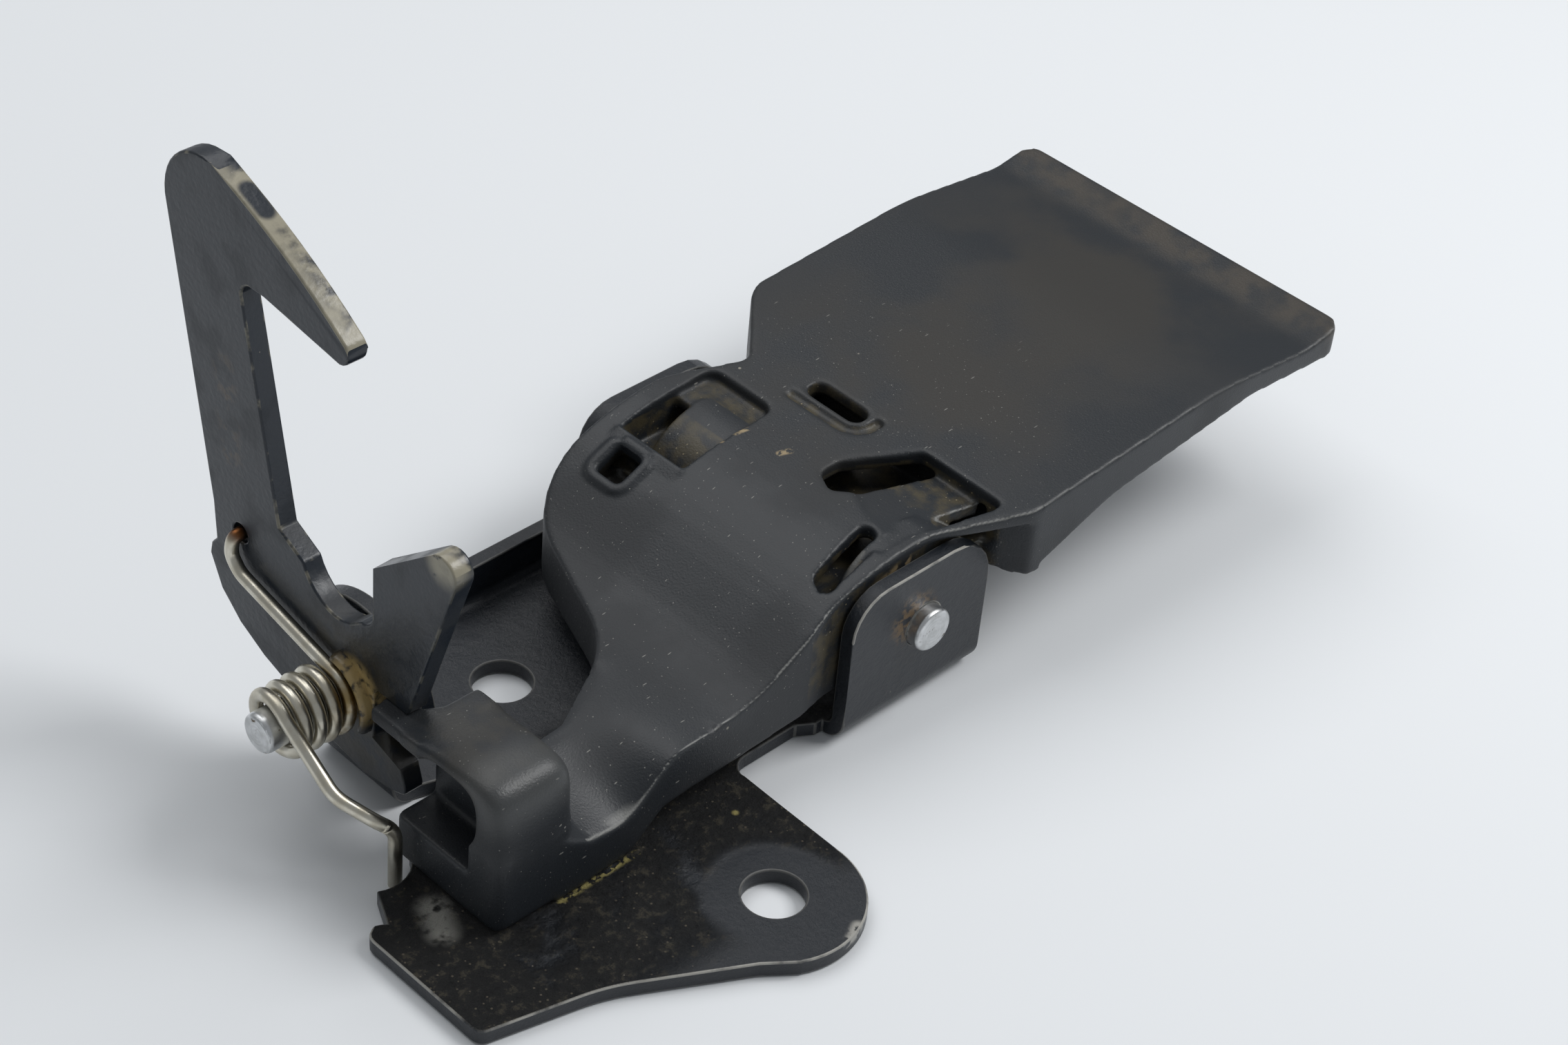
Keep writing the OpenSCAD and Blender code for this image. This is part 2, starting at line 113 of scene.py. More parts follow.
def put(tree, kind, inputs=None, output=0, **settings):
    """Adds a shader node with its inputs linked or set, and gives one of its outputs."""
    made = tree.nodes.new(kind)
    for key, value in settings.items():
        setattr(made, key, value)
    for key, value in (inputs or {}).items():
        if isinstance(value, bpy.types.NodeSocket):
            tree.links.new(value, made.inputs[key])
        else:
            made.inputs[key].default_value = value
    return made.outputs[output]


def new_finish(name):
    """An empty material: its node tree, its shader and the object coordinates."""
    finish = bpy.data.materials.new(name)
    finish.use_nodes = True
    tree = finish.node_tree
    shader = tree.nodes["Principled BSDF"]
    place = put(tree, "ShaderNodeTexCoord", output="Object")
    return finish, tree, shader, place


def marked(tree, area):
    """The mask of a named area of the mesh."""
    return put(tree, "ShaderNodeAttribute", output="Fac", attribute_name=area)


def ramp(tree, value, low, high, bottom=0.0, top=1.0):
    """Bottom where the value is low, top where it is high, and smooth between."""
    return put(
        tree, "ShaderNodeMapRange",
        {"Value": value, "From Min": low, "From Max": high, "To Min": bottom, "To Max": top},
        interpolation_type="SMOOTHSTEP",
    )


def cloud(tree, place, size, detail, roughness=0.5):
    """Plain noise of a size in mm."""
    return put(
        tree, "ShaderNodeTexNoise",
        {"Vector": place, "Scale": 1 / (size * MM), "Detail": detail, "Roughness": roughness},
    )


def patches(tree, place, size, low, high, detail=4.0):
    """Cloudy patches of a size in mm: 0 to 1."""
    return ramp(tree, cloud(tree, place, size, detail), low, high)


def math_of(tree, operation, a, b):
    """Arithmetic on two masks."""
    return put(tree, "ShaderNodeMath", {0: a, 1: b}, operation=operation)


def both(tree, a, b):
    """Where both masks are."""
    return math_of(tree, "MULTIPLY", a, b)


def either(tree, a, b):
    """Where one mask or the other is."""
    return math_of(tree, "MAXIMUM", a, b)


def outside(tree, mask):
    """Where the mask is not."""
    return math_of(tree, "SUBTRACT", 1.0, mask)


def specks(tree, place, apart, radius, share):
    """Round specks of a radius in mm, about so far apart, on a share of their places."""
    cells = tree.nodes.new("ShaderNodeTexVoronoi")
    cells.inputs["Scale"].default_value = 1 / (apart * MM)
    tree.links.new(place, cells.inputs["Vector"])
    near = ramp(tree, cells.outputs["Distance"], radius / apart, 0.5 * radius / apart)
    pick = put(tree, "ShaderNodeSeparateColor", {"Color": cells.outputs["Color"]})
    kept = math_of(tree, "LESS_THAN", pick, share)
    return both(tree, near, kept)


def spot(tree, place, centre, inner, outer):
    """A round spot at a point in mm: 1 inside the inner radius, 0 outside the outer one."""
    away = put(
        tree, "ShaderNodeVectorMath", {0: place, 1: Vector(centre) * MM},
        output="Value", operation="DISTANCE",
    )
    return ramp(tree, away, outer * MM, inner * MM)


def streak(tree, place, start, end, inner, outer):
    """A streak between two points in mm, soft from its inner to its outer half width."""
    line = (Vector(end) - Vector(start)) * MM
    from_start = put(
        tree, "ShaderNodeVectorMath", {0: place, 1: Vector(start) * MM}, operation="SUBTRACT"
    )
    along = put(
        tree, "ShaderNodeVectorMath", {0: from_start, 1: line / line.length_squared},
        output="Value", operation="DOT_PRODUCT",
    )
    share = put(tree, "ShaderNodeClamp", {"Value": along})
    foot = put(tree, "ShaderNodeVectorMath", {0: line, "Scale": share}, operation="SCALE")
    away = put(
        tree, "ShaderNodeVectorMath", {0: from_start, 1: foot},
        output="Value", operation="DISTANCE",
    )
    return ramp(tree, away, outer * MM, inner * MM)


def tint(tree, mask, under, over):
    """One colour over another where the mask is."""
    return put(
        tree, "ShaderNodeMix", {"Factor": mask, 6: under, 7: over}, output=2, data_type="RGBA"
    )


def finish_off(tree, shader, colour, roughness, height, depth):
    """Gives the shader its colour and roughness, and a bump of a depth in mm."""
    tree.links.new(colour, shader.inputs["Base Color"])
    tree.links.new(roughness, shader.inputs["Roughness"])
    bump = put(tree, "ShaderNodeBump", {"Height": height, "Distance": depth * MM})
    tree.links.new(bump, shader.inputs["Normal"])


NEAR_HOLE = (0, -28, 2.5)
FAR_HOLE = (0, 28, 2.5)
BRACKET_EASE = 0.28


def bracket_edge(edge):
    """The near rim of the tongue and lobe and the near ear's outer edge are rubbed most, and their pale
    rounds also stand as a painted highlight.
    """
    middle = middle_of(edge)
    on_hole = (middle.xy - Vector(NEAR_HOLE).xy).length < 8
    on_rim = middle.z > 1.5 and (middle.y < -20 or middle.x < -45) and not on_hole
    on_ear = middle.y < -10.5 and middle.z > 14 and middle.x < 52
    return (BRACKET_EASE, 1.0) if on_rim or on_ear else (BRACKET_EASE, 0.25)


def faces_up(middle, normal):
    """The upper side of the sheet, where dirt settles."""
    return normal.z > 0.7


DIPPED_BLACK = (0.009, 0.012, 0.017, 1)
WET_GRIME = (0.006, 0.006, 0.006, 1)
DRY_GRIME = (0.052, 0.045, 0.031, 1)
PALE_FLECK = (0.13, 0.11, 0.08, 1)
WHITE_SMEAR = (0.42, 0.41, 0.37, 1)
YELLOW_SILT = (0.42, 0.36, 0.13, 1)
BROWN_SOIL = (0.13, 0.082, 0.038, 1)
GREY_MOTE = (0.20, 0.18, 0.15, 1)
BARE_STEEL_AND_HIGHLIGHT = (0.34, 0.33, 0.30, 1)

bracket = eased_copy("base_plate", "bracket", bracket_edge, {"upper": faces_up})
finish, tree, shader, place = new_finish("black dipped steel")
washers = either(
    tree, spot(tree, place, NEAR_HOLE, 8.0, 12.0), spot(tree, place, FAR_HOLE, 7.0, 9.5)
)
under_arm = streak(tree, place, (-40, -8, 2.5), (24, -8, 2.5), 15, 27)
grime = both(tree, patches(tree, place, 10, 0.26, 0.48, 9.0), marked(tree, "upper"))
grime = both(tree, grime, both(tree, under_arm, outside(tree, washers)))
crust = cloud(tree, place, 2.3, 9.0, 0.74)
crumbs = both(tree, ramp(tree, crust, 0.53, 0.62), grime)
paint = tint(tree, grime, DIPPED_BLACK, WET_GRIME)
paint = tint(tree, crumbs, paint, DRY_GRIME)
flecks = both(tree, specks(tree, place, 1.1, 0.21, 0.5), grime)
paint = tint(tree, flecks, paint, PALE_FLECK)
smear = both(
    tree, streak(tree, place, (-36.6, -0.6, 2.5), (-38.4, -4.6, 2.5), 0.3, 3.4),
    patches(tree, place, 1.8, 0.30, 0.52, 8.0),
)
paint = tint(tree, smear, paint, WHITE_SMEAR)
silt = both(
    tree, streak(tree, place, (-23, -10.6, 2.5), (-9, -10.3, 2.5), 0.1, 0.8),
    patches(tree, place, 1.1, 0.46, 0.54, 6.0),
)
silt = either(tree, silt, spot(tree, place, (6.9, -13.3, 2.5), 0.2, 0.7))
paint = tint(tree, silt, paint, YELLOW_SILT)
pin_soil = both(
    tree, spot(tree, place, (42.6, -11.4, 17.4), 2.5, 5.5),
    patches(tree, place, 1.0, 0.44, 0.56, 6.0),
)
paint = tint(tree, pin_soil, paint, BROWN_SOIL)
motes = specks(tree, place, 2.6, 0.15, 0.28)
paint = tint(tree, motes, paint, GREY_MOTE)
# Pale bare steel on the rubbed edges; on the near rim and ear it is also a painted highlight.
rubbed_and_lit = both(tree, marked(tree, "wear_and_highlight"), patches(tree, place, 5.0, 0.28, 0.50, 8.0))
bare_end = both(
    tree, streak(tree, place, (4.4, -39.6, 2.2), (1.6, -41, 2.2), 0.4, 1.4),
    patches(tree, place, 1.2, 0.40, 0.52),
)
paint = tint(tree, either(tree, rubbed_and_lit, bare_end), paint, BARE_STEEL_AND_HIGHLIGHT)
finish_off(
    tree, shader, paint, ramp(tree, both(tree, crust, grime), 0.2, 0.6, 0.30, 0.66),
    both(tree, crust, ramp(tree, grime, 0, 1, 0.15, 1.0)), 1.5,
)
bracket.data.materials.append(finish)
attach(bracket, "base_body")

# Lever pin
# A turned steel pin through both ears, zinc plated, with a flat end on the near side and a head on the far
# side. The near end carries fine rings from the lathe.

LEVER_AXIS = (45, 0, 15)
BRIGHT_ZINC = (0.70, 0.71, 0.72, 1)
DULL_ZINC = (0.55, 0.56, 0.56, 1)
PIN_SOIL = (0.14, 0.11, 0.08, 1)


def pin_edge(edge):
    """All edges of a pin are turned off alike."""
    return 0.3, 0.0


def zinc_plate(name, centre, turn):
    """Dull zinc over turned rings, which lie round an axis through a point in mm."""
    finish, tree, shader, place = new_finish(name)
    middle = put(
        tree, "ShaderNodeMapping", {"Vector": place, "Location": Vector(centre) * -MM},
        vector_type="POINT",
    )
    turned = put(
        tree, "ShaderNodeTexWave", {"Vector": middle, "Scale": 0.55 / MM, "Distortion": 0.6},
        wave_type="RINGS", rings_direction=turn,
    )
    dull = patches(tree, place, 1.6, 0.32, 0.68, 6.0)
    colour = tint(tree, dull, BRIGHT_ZINC, DULL_ZINC)
    soil = patches(tree, place, 1.2, 0.64, 0.74, 3.0)
    colour = tint(tree, soil, colour, PIN_SOIL)
    shader.inputs["Metallic"].default_value = 1.0
    finish_off(tree, shader, colour, ramp(tree, dull, 0, 1, 0.28, 0.42), turned, 0.02)
    return finish


lever_pin = eased_copy("lever_pin", "lever_pin_turned", pin_edge, {})
lever_pin.data.materials.append(zinc_plate("zinc on the lever pin", LEVER_AXIS, "Y"))
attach(lever_pin, "base_body")

# Release lever
# One moulding of black filled plastic with a fine grained skin: the nose box in front, a hollow arm and neck
# with a barrel on the pin, and the broad paddle. Dust lies in its windows, and a pale painted highlight lies
# along its near edge.

SKIN_FACE = 0.35
KEPT_FACES = 0.33
STEP_PASSES = 8
ROUND_PASSES = 14
BROAD_PASSES = 150


def settled(piece):
    """Makes the piece's modifiers part of its mesh."""
    graph = bpy.context.evaluated_depsgraph_get()
    piece.data = bpy.data.meshes.new_from_object(piece.evaluated_get(graph))
    piece.modifiers.clear()


def moulded_copy(node, name, ribs, broad, rub_and_highlight, areas):
    """The piece that stands for a moulding: its skin is remade in small even faces and smoothed,
    so that every edge gets a moulded round, more where broad says so. ribs are boxes that are
    added first, by middle, size and tilt. The rub test gives how strong a painted highlight is at a
    place and normal, and areas names tests on a place."""
    piece = bpy.data.objects.new(name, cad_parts[node].data.copy())
    scene.collection.objects.link(piece)
    exact = bpy.data.objects.new("exact form", piece.data)
    scene.collection.objects.link(exact)
    form = bmesh.new()
    form.from_mesh(piece.data)
    bmesh.ops.remove_doubles(form, verts=form.verts, dist=SAME_POINT * MM)
    for middle, size, tilt in ribs:
        tilted = Matrix.Rotation(math.radians(tilt), 4, "Y")
        stand = Matrix.Translation(Vector(middle) * MM) @ tilted
        bmesh.ops.create_cube(form, size=MM, matrix=stand @ Matrix.Diagonal((*size, 1)))
    form.to_mesh(piece.data)
    form.free()
    even = piece.modifiers.new("even skin", "REMESH")
    even.mode = "VOXEL"
    even.voxel_size = SKIN_FACE * MM
    calm = piece.modifiers.new("no steps", "SMOOTH")
    calm.iterations = STEP_PASSES
    fitted = piece.modifiers.new("back on the flats", "SHRINKWRAP")
    fitted.target = exact
    soft = piece.modifiers.new("moulded rounds", "SMOOTH")
    soft.iterations = ROUND_PASSES
    settled(piece)
    bpy.data.objects.remove(exact)
    form = bmesh.new()
    form.from_mesh(piece.data)
    rounder = [vert for vert in form.verts if broad(vert.co / MM, vert.normal)]
    for _ in range(BROAD_PASSES):
        bmesh.ops.smooth_vert(
            form, verts=rounder, factor=0.5,
            use_axis_x=True, use_axis_y=True, use_axis_z=True,
        )
    form.normal_update()
    wear_and_highlight = form.loops.layers.float_color.new("wear_and_highlight")
    marks = {area: form.loops.layers.float_color.new(area) for area in areas}
    for vert in form.verts:
        shade = rub_and_highlight(vert.co / MM, vert.normal)
        inside = {area: float(test(vert.co / MM)) for area, test in areas.items()}
        for loop in vert.link_loops:
            loop[wear_and_highlight] = (shade, shade, shade, 1)
            for area, share in inside.items():
                loop[marks[area]] = (share, share, share, 1)
    for face in form.faces:
        face.smooth = True
    form.to_mesh(piece.data)
    form.free()
    fewer = piece.modifiers.new("fewer faces on the flats", "DECIMATE")
    fewer.ratio = KEPT_FACES
    settled(piece)
    piece.data.materials.clear()
    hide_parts(node)
    return piece


def nose_round(at, normal):
    """The upper near part of the nose, whose edges are well rounded, and the dip behind it."""
    on_nose = at.x < -17.2 and at.y < 6 and at.z > 15
    by_dip = -18.2 < at.x < 6 and -9.4 < at.y < 11
    in_dip = by_dip and at.z > 7 and normal.z > 0.1
    return on_nose or in_dip


def rim_highlight(at, normal):
    """A painted highlight: a pale line in the middle of the near rim's round, picked by its normal, and a
    fainter one on the paddle's lip.
    """
    line = 1 - abs(normal.y + 0.66) / 0.26
    rim_y = -8.4 if at.x < 6 else -4
    if at.y < rim_y and at.x > -18.5 and normal.z > 0.2:
        return max(line, 0)
    if at.x > 128 and normal.z > 0.2:
        return max(0.5 - abs(normal.x - 0.6) / 0.4, 0)
    return 0


def below_neck(at):
    """Depth under the neck's top, which slopes up behind the arm and runs on to the paddle."""
    slope = 16.4 + (at.x - 12.2) * 0.55
    neck = 27.4 + (at.x - 32.2) * 0.063
    return min(slope, neck) - at.z


def in_window(at):
    """Places sunk below the neck's top, inside its windows and in the groove round the slot."""
    below = below_neck(at)
    in_groove = 53 < at.x < 65 and 10 < at.y < 30 and 0.35 < below < 3
    on_neck = 24 < at.x < 61.5 and -11 < at.y < 41.5
    return in_groove or (on_neck and at.z > 12 and below > 1.5)


def in_pit(at):
    """Inside the square hole and the slot, where no light falls."""
    below = below_neck(at)
    in_square = 24.6 < at.x < 29.9 and 31.6 < at.y < 37.4 and below > 1.2
    in_slot = 56.8 < at.x < 61.2 and 15 < at.y < 28 and below > 1.8
    return in_square or in_slot


def along_x(tree, place):
    """How far along the latch a point is, in metres."""
    return put(tree, "ShaderNodeSeparateXYZ", {"Vector": place})


# Boxes by middle, size and tilt, where the solid's walls are too thin for the remade skin.
WINDOW_WALL = ((31.9, 33, 24.4), (2.4, 14, 4), -28.8)
SQUARE_HOLE_RIM = ((30.84, 34.4, 25.53), (1.7, 5.6, 2.2), -25)
LUG_SHELF = ((-31.2, 11, 23.8), (5, 10.6, 2.4), 0)

PLASTIC_BLACK = (0.013, 0.016, 0.020, 1)
HAZY_BLACK = (0.017, 0.019, 0.022, 1)
PADDLE_BROWN = (0.026, 0.024, 0.021, 1)
LIP_SOIL = (0.045, 0.038, 0.030, 1)
NOSE_SOIL = (0.030, 0.029, 0.026, 1)
FINE_DUST = (0.20, 0.195, 0.18, 1)
COARSE_DUST = (0.26, 0.24, 0.20, 1)
WINDOW_SOIL = (0.058, 0.048, 0.028, 1)
WINDOW_GRIT = (0.22, 0.18, 0.11, 1)
EAR_SOIL = (0.25, 0.19, 0.11, 1)
EARTH_CRUMB = (0.30, 0.23, 0.13, 1)
PIT_SHADE = (0.010, 0.009, 0.007, 1)
BOSS_EDGE_HIGHLIGHT = (0.10, 0.10, 0.095, 1)
RIM_HIGHLIGHT_GREY = (0.21, 0.21, 0.20, 1)
NOSE_EDGE_HIGHLIGHT = (0.075, 0.078, 0.078, 1)

lever = moulded_copy(
    "lever", "lever_moulding", [WINDOW_WALL, SQUARE_HOLE_RIM, LUG_SHELF], nose_round, rim_highlight,
    {"sunk": in_window, "pit": in_pit},
)
finish, tree, shader, place = new_finish("grained black plastic")
grain = cloud(tree, place, 0.32, 3.0)
film = patches(tree, place, 22, 0.36, 0.62, 7.0)
# Browner over the middle of the paddle.
paddle_brown = both(
    tree, film, streak(tree, place, (72, 17.6, 28), (118, 17.6, 30), 10, 38)
)
skin = tint(tree, film, PLASTIC_BLACK, HAZY_BLACK)
skin = tint(tree, paddle_brown, skin, PADDLE_BROWN)
lip_soil = both(
    tree, streak(tree, place, (131, -14, 30), (131, 50, 30), 1, 6),
    patches(tree, place, 6, 0.35, 0.6),
)
skin = tint(tree, lip_soil, skin, LIP_SOIL)
nose_soil = both(
    tree, streak(tree, place, (-33, 0, 27), (-19, 2, 27), 5, 13),
    patches(tree, place, 5, 0.34, 0.58),
)
skin = tint(tree, nose_soil, skin, NOSE_SOIL)
neck_area = streak(tree, place, (-20, 0, 18), (50, 16, 27), 24, 48)
fine_dust = either(
    tree, specks(tree, place, 1.4, 0.13, 0.45), specks(tree, place, 0.7, 0.08, 0.5)
)
drawn_out = put(
    tree, "ShaderNodeMapping",
    {"Vector": place, "Rotation": (0, 0, 0.15), "Scale": (0.2, 1, 0.6)},
)
hairs = specks(tree, drawn_out, 1.1, 0.10, 0.45)
dust = both(tree, either(tree, fine_dust, hairs), neck_area)
skin = tint(tree, dust, skin, FINE_DUST)
coarse_dust = both(tree, specks(tree, place, 7.5, 0.30, 0.3), neck_area)
skin = tint(tree, coarse_dust, skin, COARSE_DUST)
fallen = both(tree, marked(tree, "sunk"), patches(tree, place, 2.4, 0.34, 0.66, 7.0))
skin = tint(tree, fallen, skin, WINDOW_SOIL)
grit = both(tree, marked(tree, "sunk"), specks(tree, place, 1.0, 0.17, 0.25))
skin = tint(tree, grit, skin, WINDOW_GRIT)
beside_ear = both(
    tree, streak(tree, place, (35.5, -8.2, 23.4), (43, -8.4, 25.4), 0.5, 1.6),
    patches(tree, place, 1.6, 0.46, 0.58),
)
skin = tint(tree, beside_ear, skin, EAR_SOIL)
crumb = either(
    tree, spot(tree, place, (39.9, 26.5, 27.9), 0.2, 0.7),
    streak(tree, place, (42.6, 26.2, 28), (44.6, 25.8, 28.2), 0.2, 0.6),
)
crumb = either(
    tree, streak(tree, place, (44.2, 18.6, 28.3), (45.6, 18, 28.4), 0.3, 0.8), crumb
)
crumb = both(tree, crumb, patches(tree, place, 0.9, 0.40, 0.55))
skin = tint(tree, crumb, skin, EARTH_CRUMB)
# Painted shade: the square hole and the slot are painted darker.
skin = tint(tree, marked(tree, "pit"), skin, PIT_SHADE)
# Painted highlight: a pale streak along the rounded edge of a boss seen in the near window.
boss_edge_highlight = streak(tree, place, (33.5, -5.1, 22.4), (38.5, -3.8, 26.5), 0.3, 0.9)
skin = tint(tree, boss_edge_highlight, skin, BOSS_EDGE_HIGHLIGHT)
# Painted highlight: a pale line on the near rim's round and on the paddle's lip, picked by normal.
rubbed_and_lit = both(
    tree, ramp(tree, marked(tree, "wear_and_highlight"), 0.10, 0.90), patches(tree, place, 9, 0.10, 0.42)
)
less_on_paddle = ramp(tree, along_x(tree, place), 45 * MM, 85 * MM, 1.0, 0.55)
skin = tint(tree, both(tree, rubbed_and_lit, less_on_paddle), skin, RIM_HIGHLIGHT_GREY)
# Painted highlight: a lighter band along the nose's near top edge, which is also made glossier there.
polish_and_highlight = streak(tree, place, (-34, -8, 26), (-19, -8, 26), 3, 9)
skin = tint(tree, both(tree, polish_and_highlight, 0.5), skin, NOSE_EDGE_HIGHLIGHT)
gloss = math_of(
    tree, "SUBTRACT", ramp(tree, film, 0, 1, 0.44, 0.56), ramp(tree, polish_and_highlight, 0, 1, 0, 0.14)
)
finish_off(tree, shader, skin, gloss, grain, 0.05)
lever.data.materials.append(finish)
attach(lever, "lever_body")

# Hook pin
# A short steel rivet, zinc plated as the lever pin is. It is riveted into the bracket's round flange, and
# carries the hook and the spring's coil.

PIN_Y = 26
PIN_Z = 19.7

hook_pin = eased_copy("hook_pin", "hook_rivet", pin_edge, {})
hook_pin.data.materials.append(zinc_plate("zinc on the hook rivet", (0, PIN_Y, PIN_Z), "X"))
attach(hook_pin, "base_body")

# Safety hook
# Blanked from 3.2 mm steel plate and painted black. The striker has rubbed the barb's slanted edge and the
# lug's corner to bare metal, and a lip of dusty grease lies round the rivet, beside the coil.

HOOK_EASE = 0.35
BARB_FROM = 72


def rubbed_by_striker(middle, normal):
    """The barb's slanted edge, and the lug's top."""
    on_barb = normal.z > 0.3 and normal.y < -0.25 and middle.z > BARB_FROM
    on_lug = normal.z > 0.3 and middle.y < 11 and 48 < middle.z < 60
    return abs(normal.x) < 0.3 and (on_barb or on_lug)


def hook_edge(edge):
    """The edges of the slanted face are bare, those by the shank rubbed and the lug's less so."""
    middle = middle_of(edge)
    touched = any(rubbed_by_striker(middle, face.normal) for face in edge.link_faces)
    if touched and middle.z > BARB_FROM:
        return HOOK_EASE, 1.0
    return (HOOK_EASE, 0.25) if middle.y < 18 else (HOOK_EASE, 0.55)


def on_grease_lip(face):
    """The faces of the grease lip, which has no rubbed places."""
    hub = Vector((-32, PIN_Y, PIN_Z))
    return all(
        vert.co.x < -30.9 * MM and (vert.co - hub * MM).length < 7.4 * MM for vert in face.verts
    )


HOOK_BLACK = (0.009, 0.014, 0.022, 1)
DUSTY_BLACK = (0.014, 0.018, 0.024, 1)
GREASE = (0.028, 0.025, 0.019, 1)
SHANK_STAIN = (0.050, 0.036, 0.026, 1)
YELLOW_GREASE = (0.36, 0.26, 0.11, 1)
HOOK_MOTE = (0.14, 0.13, 0.11, 1)
BARE_PLATE = (0.30, 0.275, 0.205, 1)

hook = eased_copy("hook", "safety_hook", hook_edge, {"striker": rubbed_by_striker})
form = bmesh.new()
form.from_mesh(hook.data)
lip = [
    (-31, 5.8), (-31.9, 5.82), (-32.5, 6.1), (-32.7, 6.5),
    (-32.5, 6.9), (-31.9, 7.15), (-31, 7.2),
]
lip_start = [form.verts.new(Vector((x, PIN_Y, PIN_Z + radius)) * MM) for x, radius in lip]
lip_line = [form.edges.new(pair) for pair in zip(lip_start, lip_start[1:])]
spun = bmesh.ops.spin(
    form, geom=lip_start + lip_line, cent=Vector((0, PIN_Y, PIN_Z)) * MM, axis=(1, 0, 0),
    angle=math.radians(112), steps=24,
)["geom_last"]
lip_end = [part for part in spun if isinstance(part, bmesh.types.BMVert)]
form.faces.new(lip_start)
form.faces.new(lip_end)
bmesh.ops.recalc_face_normals(form, faces=form.faces)
for face in form.faces:
    face.smooth = True
    if on_grease_lip(face):
        for loop in face.loops:
            for layer in form.loops.layers.float_color.values():
                loop[layer] = (0, 0, 0, 1)
form.to_mesh(hook.data)
form.free()
finish, tree, shader, place = new_finish("rubbed black paint")
dust = patches(tree, place, 6, 0.42, 0.70, 8.0)
coat = tint(tree, dust, HOOK_BLACK, DUSTY_BLACK)
grease = both(
    tree, spot(tree, place, (-31, 23, 20), 6, 17), patches(tree, place, 3.0, 0.30, 0.56, 7.0)
)
coat = tint(tree, grease, coat, GREASE)
stain = both(
    tree, streak(tree, place, (-31, 49.5, 60), (-31, 48.6, 46), 0.5, 3.5),
    patches(tree, place, 2.0, 0.50, 0.62, 6.0),
)
coat = tint(tree, stain, coat, SHANK_STAIN)
collar = both(
    tree, spot(tree, place, (-32, 22.6, 22.6), 3.5, 6),
    patches(tree, place, 1.2, 0.26, 0.50, 5.0),
)
coat = tint(tree, collar, coat, YELLOW_GREASE)
motes = specks(tree, place, 2.0, 0.13, 0.25)
coat = tint(tree, motes, coat, HOOK_MOTE)
rubbed_and_lit = both(tree, marked(tree, "wear_and_highlight"), patches(tree, place, 2.5, 0.50, 0.66))
rubbed_and_lit = either(tree, rubbed_and_lit, ramp(tree, marked(tree, "wear_and_highlight"), 0.8, 0.95))
paint_left = both(
    tree, patches(tree, place, 3.2, 0.48, 0.66, 8.0),
    ramp(tree, along_x(tree, place), -30.4 * MM, -28.4 * MM, 0.25, 1.0),
)
paint_left = either(
    tree, streak(tree, place, (-29.2, 45.4, 89.1), (-29.2, 42, 87.7), 0.9, 1.8), paint_left
)
lug_corner = both(
    tree, spot(tree, place, (-31, 5, 54.8), 1.4, 4.4), patches(tree, place, 2.6, 0.30, 0.42)
)
bare = either(tree, either(tree, rubbed_and_lit, marked(tree, "striker")), lug_corner)
bare = both(tree, bare, outside(tree, paint_left))
coat = tint(tree, bare, coat, BARE_PLATE)
dimple = cloud(tree, place, 0.8, 5.0)
finish_off(tree, shader, coat, ramp(tree, dust, 0, 1, 0.28, 0.44), dimple, 0.05)
hook.data.materials.append(finish)
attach(hook, "hook_body")

# Torsion spring
# Wound on the hook pin from bright round wire, 2 mm thick: one leg lies on the hook and enters it, the
# other bends down to the tongue of the bracket. In the latch its coil twists when the hook swings; here it
# is drawn fixed in one pose.

WIRE = 2.0
WIRE_SIDES = 18
COIL = 4.5
COIL_BACK = -32.4
COIL_FRONT = -42.363
COIL_START = 107
COIL_SWEEP = 1464
COIL_STEPS = 146
BRIGHT_WIRE = (0.70, 0.67, 0.58, 1)
DULL_WIRE = (0.56, 0.52, 0.42, 1)
OILED_WIRE = (0.30, 0.20, 0.06, 1)
RUSTED_WIRE = (0.20, 0.08, 0.03, 1)


def drawn_wire(name, path, radius):
    """A round wire: a ring of corners extruded from point to point of a path, all in mm."""
    points = [Vector(point) * MM for point in path]
    last = len(points) - 1
    ahead = [
        (points[min(i + 1, last)] - points[max(i - 1, 0)]).normalized() for i in range(last + 1)
    ]
    form = bmesh.new()
    bmesh.ops.create_circle(form, cap_ends=True, segments=WIRE_SIDES, radius=radius * MM)
    facing = Vector((0, 0, 1)).rotation_difference(ahead[0]).to_matrix().to_4x4()
    bmesh.ops.transform(form, matrix=Matrix.Translation(points[0]) @ facing, verts=form.verts)
    rim = list(form.edges)
    for i in range(1, last + 1):
        pulled = bmesh.ops.extrude_edge_only(form, edges=rim)["geom"]
        moved = [part for part in pulled if isinstance(part, bmesh.types.BMVert)]
        turn = ahead[i - 1].rotation_difference(ahead[i]).to_matrix().to_4x4()
        step = Matrix.Translation(points[i]) @ turn @ Matrix.Translation(-points[i - 1])
        bmesh.ops.transform(form, matrix=step, verts=moved)
        edges = [part for part in pulled if isinstance(part, bmesh.types.BMEdge)]
        rim = [edge for edge in edges if edge.is_boundary]
    bmesh.ops.edgeloop_fill(form, edges=rim)
    bmesh.ops.recalc_face_normals(form, faces=form.faces)
    for face in form.faces:
        face.smooth = len(face.verts) == 4
    wire = bpy.data.objects.new(name, bpy.data.meshes.new(name))
    form.to_mesh(wire.data)
    form.free()
    scene.collection.objects.link(wire)
    return wire


def rounded_route(corners, bend, steps=6):
    """A route through corners in mm, each turned in a few steps from a bend's length before it."""
    route = [Vector(corners[0])]
    for before, corner, after in zip(corners, corners[1:], corners[2:]):
        corner = Vector(corner)
        enter = corner + (Vector(before) - corner).normalized() * bend
        leave = corner + (Vector(after) - corner).normalized() * bend
        for i in range(steps + 1):
            share = i / steps
            route.append(enter.lerp(corner, share).lerp(corner.lerp(leave, share), share))
    route.append(Vector(corners[-1]))
    return route


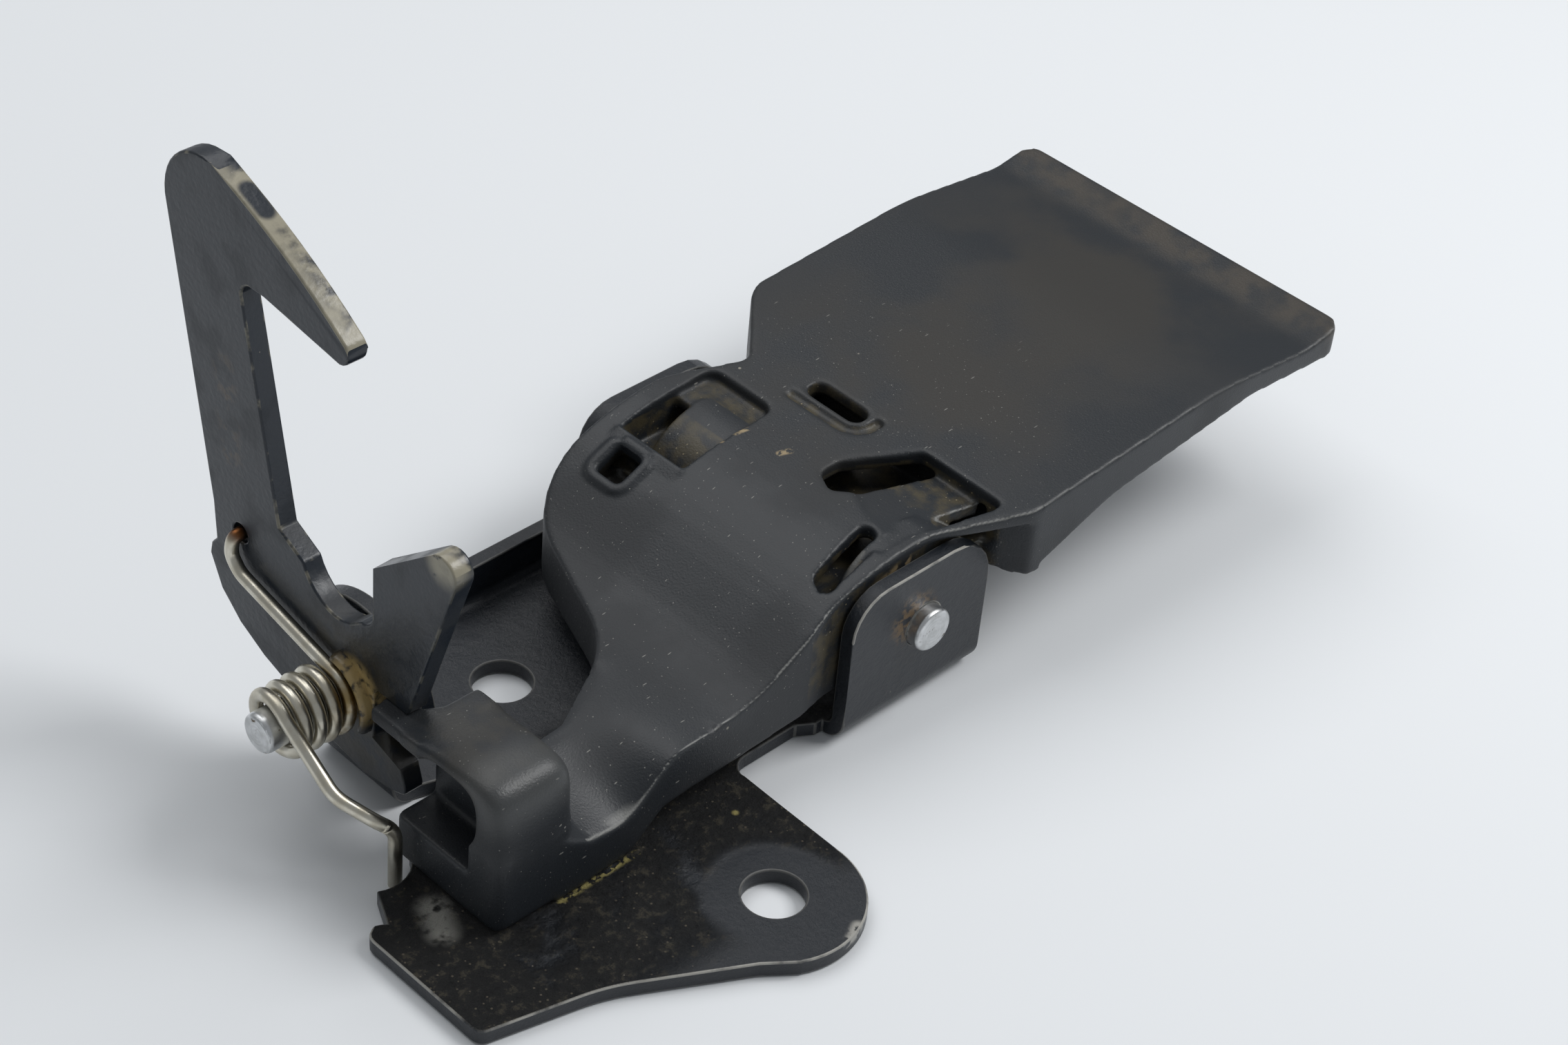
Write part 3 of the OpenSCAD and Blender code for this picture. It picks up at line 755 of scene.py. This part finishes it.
def coil_at(share):
    """A point on the coil's middle line, from the hook's leg at 0 to the tongue's leg at 1."""
    turn = math.radians(COIL_START + COIL_SWEEP * share)
    x = COIL_BACK + (COIL_FRONT - COIL_BACK) * share
    return Vector((x, PIN_Y + COIL * math.cos(turn), PIN_Z + COIL * math.sin(turn)))


hook_leg = rounded_route([
    (-28.2, 47.2, 33.6), (-32.2, 47.2, 33.6), (COIL_BACK, 47.6, 30.6), (COIL_BACK, 45.6, 28.4),
    coil_at(0),
], 1.2)
coil_route = [coil_at(i / COIL_STEPS) for i in range(1, COIL_STEPS + 1)]
tongue_leg = rounded_route([
    coil_at(1), (COIL_FRONT + 0.3, 13.2, 16.0), (-38.6, 8.8, 12.6), (-36.4, 7.6, 10.6),
    (-36.4, 7.6, 0.6),
], 1.7)
spring = drawn_wire("spring", hook_leg + coil_route + tongue_leg[1:], WIRE / 2)
finish, tree, shader, place = new_finish("drawn spring wire")
drawing = patches(tree, place, 2.2, 0.25, 0.75, 5.0)
wire_colour = tint(tree, drawing, BRIGHT_WIRE, DULL_WIRE)
oil = both(
    tree, spot(tree, place, (-31.5, 24, 20), 3, 7), patches(tree, place, 3.0, 0.34, 0.60)
)
wire_colour = tint(tree, oil, wire_colour, OILED_WIRE)
hook_end = spot(tree, place, (-31.4, 47.2, 33.8), 0.8, 2.0)
wire_colour = tint(tree, hook_end, wire_colour, RUSTED_WIRE)
shader.inputs["Metallic"].default_value = 1.0
finish_off(tree, shader, wire_colour, ramp(tree, drawing, 0, 1, 0.28, 0.40), drawing, 0.006)
spring.data.materials.append(finish)
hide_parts("torsion_spring")
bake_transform(spring)

# Floor, light and camera
# A plain pale floor, a broad lamp above and behind, a smaller one on the near side, and a camera at the
# photograph's angle.

FLOOR_PALE = (0.80, 0.82, 0.84, 1)
SKY_WHITE = (0.92, 0.96, 1.0, 1)

floor_form = bmesh.new()
bmesh.ops.create_grid(floor_form, x_segments=1, y_segments=1, size=3.0)
bmesh.ops.translate(floor_form, verts=floor_form.verts, vec=(0, 0, -0.2 * MM))
floor = bpy.data.objects.new("floor", bpy.data.meshes.new("floor"))
floor_form.to_mesh(floor.data)
floor_form.free()
scene.collection.objects.link(floor)
finish, tree, shader, place = new_finish("pale floor")
shader.inputs["Base Color"].default_value = FLOOR_PALE
shader.inputs["Roughness"].default_value = 0.9
floor.data.materials.append(finish)

world = bpy.data.worlds.new("studio")
world.use_nodes = True
sky = world.node_tree.nodes["Background"]
sky.inputs["Color"].default_value = SKY_WHITE
sky.inputs["Strength"].default_value = 0.30
scene.world = world


def lamp(name, stands, aims, size, power):
    """A square soft lamp that stands in one place and aims at another, all in metres."""
    light = bpy.data.lights.new(name, "AREA")
    light.size = size
    light.energy = power
    holder = bpy.data.objects.new(name, light)
    holder.location = stands
    holder.rotation_euler = (Vector(aims) - Vector(stands)).to_track_quat("-Z", "Y").to_euler()
    scene.collection.objects.link(holder)


lamp("overhead lamp", (0.10, 0.42, 0.75), (0.03, 0.02, 0.02), 0.7, 2.9)
lamp("near lamp", (0.42, -0.28, 0.60), (0.0, 0.0, 0.02), 0.36, 3.2)

CAMERA_AT = (-233.4, -232.3, 312.3)
camera_data = bpy.data.cameras.new("camera")
camera_data.sensor_width = 36
camera_data.lens = 74.2
camera_data.clip_start = 0.01
camera = bpy.data.objects.new("camera", camera_data)
right = Vector((0.7098, -0.7001, 0.0774))
back = Vector((-0.5834, -0.5228, 0.6215))
facing = Matrix((right, back.cross(right), back)).transposed().to_4x4()
camera.matrix_world = Matrix.Translation(Vector(CAMERA_AT) * MM) @ facing
scene.collection.objects.link(camera)
scene.camera = camera
scene.view_settings.view_transform = "Standard"
